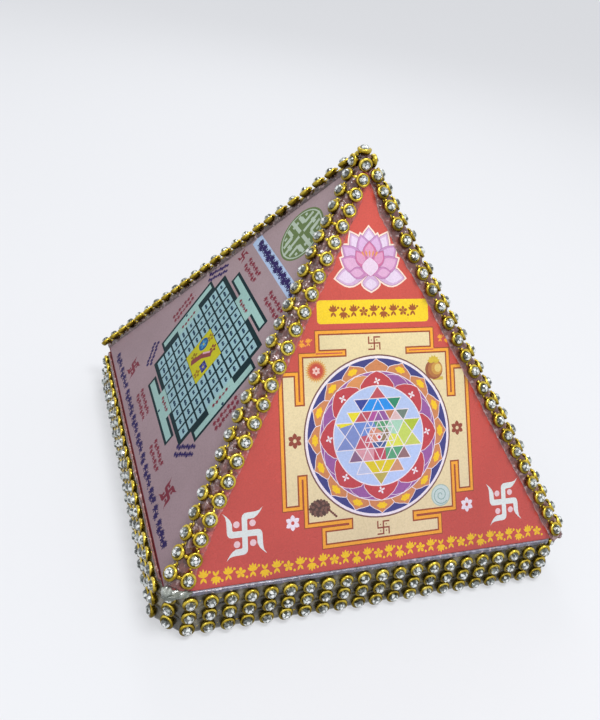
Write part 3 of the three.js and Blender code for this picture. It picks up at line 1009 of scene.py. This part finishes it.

# Each slanted edge: its foot corner, the two faces that meet, and the cups' distances up the
# edge. The rows were laid by hand and wander, so insets and the glue's reach are pairs of
# distance up the edge and distance in from it, for each of the two faces. Cups are pairs of
# number and distance, leans those of distance and outward lean. Lights are how much a row's
# cups darken below as painted shade, and the way its stones' painted pale facets face.
edges = {
    "front_left": {
        "corner": (-1, -1), "sides": ("front", "left"),
        "cups": [(0, 4.5), (5, 26.5), (17, 81.1), (22, 102.4)],
        "insets": (
            [(4.5, 3.0), (9, 2.45), (13, 1.95), (40, 2.1), (70, 2.0), (80, 1.75), (90, 2.0), (103, 1.85)],
            [(4, -0.5), (8, -0.1), (13, 0.4), (22, 0.9), (85, 1.4), (94, 1.1), (103, 1.4)],
        ),
        "leans": ([(0, 0), (103, 0)], [(4, 0.4), (13, 0.1), (22, 0), (103, 0)]),
        "lights": ((0.25, (0, 0, -0.1)), (0.75, (0, 0.75, -0.3))),
        "reach": ([(0, 5.0), (8, 4.5), (15, 4.1), (98, 4.2), (103, 3.2)], [(0, 2.2), (20, 2.6), (103, 2.8)]),
        "glueStart": 2.0, "looks": ("red", "grey"),
    },
    "front_right": {
        "corner": (1, -1), "sides": ("front", "right"),
        "cups": [(0, 3.6), (5, 26.4), (17, 81.7), (20, 95.0), (22, 102.9)],
        "insets": (
            [(4, 1.15), (22, 1.1), (40, 1.4), (90, 1.6), (99, 1.15), (103, 0.6)],
            [(4, 0.9), (103, 0.9)],
        ),
        "leans": ([(4, 0.3), (103, 0.22)], [(4, 0.25), (103, 0.25)]),
        "lights": ((1.0, (0.35, 0, -0.6)), (0.8, (0, 0, -0.6))),
        "reach": ([(0, 3.1), (40, 3.3), (75, 3.7), (86, 4.4), (95, 4.1), (101, 2.4)], [(0, 2.6), (103, 2.6)]),
        "glueStart": 0.6, "looks": ("redThick", "grey"),
    },
    "back_left": {
        "corner": (-1, 1), "sides": ("back", "left"), "cups": [(0, 0.1), (23, 103.1)],
        "lights": ((0.6, (0, 0, -0.7)),), "reach": ([(0, 2.2), (103, 2.2)], [(0, 1.9), (103, 1.9)]),
        "glueStart": 0.9, "looks": ("redThick", "greyDark"),
    },
    "back_right": {
        "corner": (1, 1), "sides": ("back", "right"), "cups": [(0, 0.1), (23, 103.1)],
        "lights": ((0.6, (0, 0, -0.7)),), "reach": ([(0, 2.2), (103, 2.2)], [(0, 2.2), (103, 2.2)]),
        "glueStart": 0.9, "looks": ("redThick", "greyDark"),
    },
}
edgeLace = {
    "acrossLift": 1.15,
    "acrossBead": 0.52,
    "alongLift": 0.1,
    "alongBead": 0.3,
    "nubLift": 0.9,  # a nub stands where the link leaves a cup
    "nubStart": 1.6,
    "nubLength": 0.5,
    "nubDip": 0.1,
    "nubBead": 0.34,
}


# Value at a distance along a line of (distance, value) pairs
def between(pairs, distance):
    for (d0, v0), (d1, v1) in zip(pairs, pairs[1:]):
        if distance <= d1:
            return v0 + (v1 - v0) * max(distance - d0, 0) / (d1 - d0)
    return pairs[-1][1]


# Foot corner of an edge, the way up it, and the edge's inward direction on one of its faces
def edgeFrame(edge, face):
    x, y = edge["corner"]
    foot = Vector((x * half, y * half, plinthTop))
    along = (Vector((0, 0, peak)) - foot).normalized()
    out = faceNormal(edge["sides"][face])
    inward = out.cross(along).normalized()
    if inward.dot(Vector((out.x, out.y, 0)) * half - Vector((foot.x, foot.y, 0))) < 0:
        inward.negate()
    return foot, along, out, inward


# The row of a folded lace on one of its two faces, or the single row that stands on a back ridge
def edgePlaces(edge, face):
    foot, along, out, inward = edgeFrame(edge, face)
    folded = "insets" in edge
    if not folded:
        out = (out + faceNormal(edge["sides"][1])).normalized()
    places = []
    for number in range(edge["cups"][-1][0] + 1):
        distance = between(edge["cups"], number)
        at = foot + along * distance
        facing = out
        if folded:
            lean = between(edge["leans"][face], distance)
            at += inward * (between(edge["insets"][face], distance) + lean * cupShape["profile"][-1][1])
            facing = (out - inward * lean).normalized()
        places.append((at + out * glueLine, facing, along))
    return places


for seed, (name, edge) in enumerate(edges.items()):
    luck = random.Random(70 + seed)
    mesh, tints = newMesh()
    rows = [edgePlaces(edge, face) for face in range(len(edge["lights"]))]
    for places, (under, shine) in zip(rows, edge["lights"]):
        for place in places:
            addSetStone(mesh, tints, place, luck, under=under, shine=shine)
        for first, second in zip(places, places[1:]):
            joinCups(mesh, tints, first, second, edgeLace["alongLift"], edgeLace["alongBead"])
            nub = first[0] + first[1] * edgeLace["nubLift"] + first[2] * edgeLace["nubStart"]
            nubEnd = nub + first[2] * edgeLace["nubLength"] - first[1] * edgeLace["nubDip"]
            addLink(mesh, tints, nub, nubEnd, edgeLace["nubBead"])
    if len(rows) > 1:
        for first, second in zip(*rows):
            joinCups(mesh, tints, first, second, edgeLace["acrossLift"], edgeLace["acrossBead"])
    settle("edgeLace_" + name, mesh, [gilded, cutStone], "gilt_cups", "edge_lace_" + name)
print("edge lace ready")

tipStones = {
    "reach": 1.5,  # upright axis to the backs of the four that face sideways
    "drop": 1.75,
    "topSink": 0.1,
    "lean": 0.03,
    "askew": {"front": (-0.5, 0, -0.3), "left": (-0.3, 0, -0.2), "top": (-0.3, 0, 0)},  # given one by one
}
beside = (0, -tipStones["reach"], peak - tipStones["drop"])
above = (0, 0, peak - tipStones["topSink"])
tipPlaces = {side: (90 + turns, beside, (0, -1, 0), turns) for side, turns in sideTurns.items()}
tipPlaces["top"] = (97, above, (0, 0, 1), 0)
for side, (seed, *place, turns) in tipPlaces.items():
    mesh, tints = newMesh()
    at, out, along = (quarterTurned(vector, turns) for vector in (*place, (1, 0, 0)))
    at += Vector(tipStones["askew"].get(side, (0, 0, 0)))
    addSetStone(mesh, tints, (at, out, along), random.Random(seed), tipStones["lean"], 0.0)
    materials = [gilded, cutStone]
    settle("apexStone_" + side, mesh, materials, "gilt_cups", "apex_cup_" + side, "apex_stone_" + side)
print("tip ready")


def lump(point, scale, seed):
    return noise.noise(Vector(point) * scale + Vector((seed, seed * 0.7, seed * 1.3)))


# Closed sheet over a grid of outer point, inner point and tint
def shellObject(name, grid, material, closed, *replaced):
    mesh, tints = newMesh()
    top, low = ([[mesh.verts.new(spot[side] * mm) for spot in row] for row in grid] for side in (0, 1))
    tintOf = {}
    for verts in (top, low):
        for vertRow, row in zip(verts, grid):
            tintOf.update((vert, spot[2]) for vert, spot in zip(vertRow, row))
    columns = range(len(grid[0]) - 1)
    for i in range(len(grid) if closed else len(grid) - 1):
        k = (i + 1) % len(grid)
        for j in columns:
            mesh.faces.new((top[i][j], top[k][j], top[k][j + 1], top[i][j + 1]))
            mesh.faces.new((low[i][j], low[i][j + 1], low[k][j + 1], low[k][j]))
        mesh.faces.new((top[i][0], low[i][0], low[k][0], top[k][0]))
        mesh.faces.new((top[i][-1], top[k][-1], low[k][-1], low[i][-1]))
    for i in () if closed else (0, -1):
        for j in columns:
            mesh.faces.new((top[i][j], top[i][j + 1], low[i][j + 1], low[i][j]))
    bmesh.ops.recalc_face_normals(mesh, faces=mesh.faces[:])
    for face in mesh.faces:
        face.smooth = True
        for loop in face.loops:
            loop[tints] = tintOf[loop.vert]
    settle(name, mesh, [material], "clear_glue", *replaced)


glueStrip = {
    "height": 0.5,
    "rim": 0.06,  # least height
    "foot": 0.03,  # height of its underside
    "tipGap": 4.0,
    "room": 0.405,  # share of the way to the tip that keeps clear of the face's other strip
    "stepsAlong": 240,
    "stepsAcross": 20,
}
# Colour of the lace's glue beside the edge, out towards its border, and on the border, which is paler as a
# painted highlight
glueLooks = {
    "red": (ink(112, 66, 62), ink(190, 80, 76), ink(214, 132, 128)),
    "redThick": (ink(104, 60, 56), ink(136, 78, 74), ink(196, 142, 142)),
    "grey": (ink(106, 74, 70), ink(118, 92, 94), ink(128, 104, 106)),
    # greyDark is darker beside a back ridge: partly the glue's brown, partly painted shadow under the ridge
    # cups
    "greyDark": (ink(72, 52, 48), ink(90, 68, 68), ink(112, 90, 92)),
}


def edgeGlue(name, edge, seed):
    frames = [edgeFrame(edge, face) for face in (0, 1)]
    foot, along = frames[0][:2]
    length = (Vector((0, 0, peak)) - foot).length
    edgeOut = (frames[0][2] + frames[1][2]).normalized()
    start = edge["glueStart"]
    grid = []
    for i in range(glueStrip["stepsAlong"] + 1):
        far = start + (length - glueStrip["tipGap"] - start) * i / glueStrip["stepsAlong"]
        room = max(glueStrip["room"] * (length - far), 0.4)
        row = []
        for j in range(glueStrip["stepsAcross"] + 1):
            t = 2 * j / glueStrip["stepsAcross"] - 1
            face = int(t >= 0)
            out, inward = frames[face][2:]
            t = abs(t)
            wave = 1 + 0.1 * lump((far, 7.0 * face, 0), 0.35, seed)
            wave += 0.06 * lump((far, 3.0 * face, 0), 1.3, seed)
            reach = min(between(edge["reach"][face], far) * wave, room)
            base = foot + along * far + inward * t * reach
            share = max(0.0, 1 - t * 6)
            direction = (out * (1 - share) + edgeOut * share).normalized()
            swell = 1 + 0.9 * lump(base, 0.6, seed) + 0.9 * lump(base, 1.5, seed + 3)
            height = max(glueStrip["height"] * (1 - t ** 5) * swell, glueStrip["rim"])
            near, away, border = (Vector(colour) for colour in glueLooks[edge["looks"][face]])
            # painted highlight: the outermost strip of the glue is paler along its border
            shade = near.lerp(away, min(max((t - 0.35) / 0.4, 0), 1)).lerp(border, 0.8 if t > 0.95 else 0)
            row.append((base + direction * height, base + direction * glueStrip["foot"], shade))
        grid.append(row)
    shellObject("laceGlue_" + name, grid, laceGlue, False, "edge_lace_" + name)


for seed, (name, edge) in enumerate(edges.items()):
    edgeGlue(name, edge, 11 + 5 * seed)


# Points of the plinth's outline, its corners cut back, every millimetre or so
def plinthOutline(offset):
    side = half + offset
    flatEnd = half - pyramid["cornerChamfer"] + offset * tan(pi / 8)
    outline = []
    for i in range(4):
        start, end, turned = (
            quarterTurned(p, i) for p in ((-flatEnd, -side, 0), (flatEnd, -side, 0), (side, -flatEnd, 0))
        )
        outline += [start.lerp(end, k / 96) for k in range(96)]
        outline += [end.lerp(turned, k / 8) for k in range(8)]
    return outline


glueBands = {
    "inside": 0.12,  # behind a band, out from the plinth's board
    "steps": 7,
    "fullest": 1.35,  # share of a band's thickness that its lumps may reach
    "bead": (11.1, 12.1, 0.8),  # lower and upper level, and thickness
    "ridge": (12.0, 12.26, 0.62),
}


# A band's two tints are those of its front and back, and of its sides.
def glueBand(name, low, high, thickness, material, bandTints, seed, *replaced):
    grid = []
    for near, far in zip(plinthOutline(glueBands["inside"]), plinthOutline(thickness)):
        tint = bandTints[int(abs(near.x) > abs(near.y))]
        row = []
        for j in range(glueBands["steps"] + 1):
            t = j / glueBands["steps"]
            inner = Vector((near.x, near.y, low + (high - low) * t))
            body = sin(pi * (0.12 + 0.76 * t)) ** 0.5
            share = body * (1 + 0.35 * lump(inner, 0.6, seed))
            outer = near.lerp(far, min(share, glueBands["fullest"]))
            outer.z = inner.z
            row.append((outer, inner, tint))
        grid.append(row)
    shellObject(name, grid, material, True, *replaced)


for number, level in enumerate(plinthRows["levels"], 1):
    reach = plinthRows["bedHalfHeight"]
    lowest, highest = plinthRows["bedReach"]
    glueBand(
        f"rowGlue_{number}", max(level - reach, lowest), min(level + reach, highest),
        plinthRows["bedThickness"], plinthGlue, (grey(1), grey(1)), 30 + number, f"stone_row_{number}",
    )
# glue right under the prints' feet, and its upper ridge, paler than the bead as a painted highlight; both
# paler in front than at the sides
beadTints = (ink(100, 98, 114), ink(74, 48, 46))
ridgeHighlightTints = (ink(142, 144, 162), ink(130, 70, 62))
glueBand("footBead", *glueBands["bead"], footGlue, beadTints, 36, "stone_row_1")
glueBand("footRidge", *glueBands["ridge"], footGlue, ridgeHighlightTints, 39, "stone_row_1")


# Lumps of glue, each with its middle and its reach along x, y and z
def gathered(name, lumps, material, seed, replaced):
    mesh, tints = newMesh()
    for centre, radii in lumps:
        for vert in bmesh.ops.create_icosphere(mesh, subdivisions=4, radius=1)["verts"]:
            swell = 1 + 0.3 * lump(vert.co, 1.5, seed) + 0.14 * lump(vert.co, 3.6, seed)
            shaped = Vector(reach * part for reach, part in zip(radii, vert.co)) * swell
            vert.co = (Vector(centre) + shaped) * mm
    for face in mesh.faces:
        face.smooth = True
        paint(face, tints, glueLooks["redThick"][0])
    settle(name, mesh, [material], "clear_glue", replaced)


leftLumps = [((-48.2, -51.1, 12.1), (3.2, 1.1, 0.9)), ((-50.3, -50.5, 12.7), (1.2, 1.3, 1.2))]
rightLumps = [((50.15, -50.2, 12.35), (1.0, 1.0, 0.75))]
apexLumps = [((0, 0, peak - 2.3), (1.75, 1.75, 1.7)), ((0.35, 0, peak - 0.9), (1.35, 1.4, 0.95))]
gathered("cornerGlue_front_left", leftLumps, clearGlue, 50, "corner_glue_front_left")
gathered("cornerGlue_front_right", rightLumps, laceGlue, 51, "corner_glue_front_right")
gathered("apexGlue", apexLumps, laceGlue, 60, "apex_glue")
print("glue ready")

for name in nodes:
    if name.startswith(("base_board", "plinth_wall", "face_board")):
        nodes[name].data.materials.clear()
        nodes[name].data.materials.append(board)


studio = {
    "floorColour": (0.82, 0.83, 0.86, 1.0),
    "floorGlow": 0.6,  # share of the floor's own colour where it is seen, whatever the light on it
    "floorSize": 60,
    "floorDrop": 0.0002,
    "worldColour": (0.95, 0.97, 1.0, 1.0),
    "worldStrength": 0.6,
    "shownColour": (0.95, 0.96, 0.98, 1.0),
    "shownStrength": 0.95,
    "middle": (0, 0, 0.04),
    "lampSize": 0.3,
    "lamps": {
        "keyLamp": ((0.12, -0.2, 0.75), 3.4),
        "fillLamp": ((-0.45, -0.5, 0.5), 0.7),
        "rimLamp": ((0.15, 0.5, 0.45), 0.7),
    },
}
scene = bpy.context.scene
for name, (place, power) in studio["lamps"].items():
    lamp = bpy.data.lights.new(name, "AREA")
    lamp.shape = "DISK"
    lamp.size = studio["lampSize"]
    lamp.energy = power
    lampObject = bpy.data.objects.new(name, lamp)
    lampObject.location = place
    lampObject.rotation_euler = (Vector(studio["middle"]) - Vector(place)).to_track_quat("-Z", "Y").to_euler()
    scene.collection.objects.link(lampObject)


# Lays a plain surface over the lit one, where it is seen directly or in a reflection
def showPlain(tree, output, lit, plain, share):
    rays = addNode(tree, "LightPath").outputs
    seen = rays["Is Camera Ray"]
    for ray in ("Is Glossy Ray", "Is Transmission Ray"):
        seen = addNode(tree, "Math", {0: seen, 1: rays[ray]}, operation="MAXIMUM").outputs[0]
    seen = addNode(tree, "Math", {0: seen, 1: share}, operation="MULTIPLY").outputs[0]
    mix = addNode(tree, "MixShader", {0: seen, 1: lit.outputs[0], 2: plain.outputs[0]})
    feed(tree, tree.nodes[output], {"Surface": mix.outputs[0]})


floorMaterial, tree = newMaterial("studioFloor")
shaded(floorMaterial, {"Base Color": studio["floorColour"], "Roughness": 0.9})
glow = addNode(tree, "Emission", {"Color": studio["floorColour"]})
showPlain(tree, "Material Output", tree.nodes["Principled BSDF"], glow, studio["floorGlow"])
bpy.ops.mesh.primitive_plane_add(size=studio["floorSize"], location=(0, 0, -studio["floorDrop"]))
floor = bpy.context.object
floor.name = "studioFloor"
floor.data.materials.append(floorMaterial)

world = bpy.data.worlds.new("studioWorld")
scene.world = world
world.use_nodes = True
tree = world.node_tree
background = tree.nodes["Background"]
feed(tree, background, {"Color": studio["worldColour"], "Strength": studio["worldStrength"]})
shown = addNode(tree, "Background", {"Color": studio["shownColour"], "Strength": studio["shownStrength"]})
showPlain(tree, "World Output", background, shown, 1.0)

cameraPlace = {
    "position": (-0.08103, -0.16663, 0.14502),
    "right": (0.93662, -0.31561, 0.15206),
    "down": (-0.01585, -0.47176, -0.88158),
    "focalPixels": 787.1,
    "frameHeight": 720,
    "centreLift": 60,  # pixels from the frame's middle up to the optical axis
    "sensorHeight": 36,
    "clipStart": 0.005,
}
cameraData = bpy.data.cameras.new("camera")
cameraData.sensor_fit = "VERTICAL"
cameraData.sensor_height = cameraPlace["sensorHeight"]
cameraData.lens = cameraPlace["focalPixels"] / cameraPlace["frameHeight"] * cameraPlace["sensorHeight"]
cameraData.shift_y = -cameraPlace["centreLift"] / cameraPlace["frameHeight"]
cameraData.clip_start = cameraPlace["clipStart"]
right = Vector(cameraPlace["right"]).normalized()
up = -Vector(cameraPlace["down"])
back = right.cross(up).normalized()
up = back.cross(right)
cameraObject = bpy.data.objects.new("camera", cameraData)
turn = Matrix((right, up, back)).transposed().to_4x4()
cameraObject.matrix_world = Matrix.Translation(cameraPlace["position"]) @ turn
scene.collection.objects.link(cameraObject)
scene.camera = cameraObject

scene.view_settings.view_transform = "Standard"

print("scene ready")
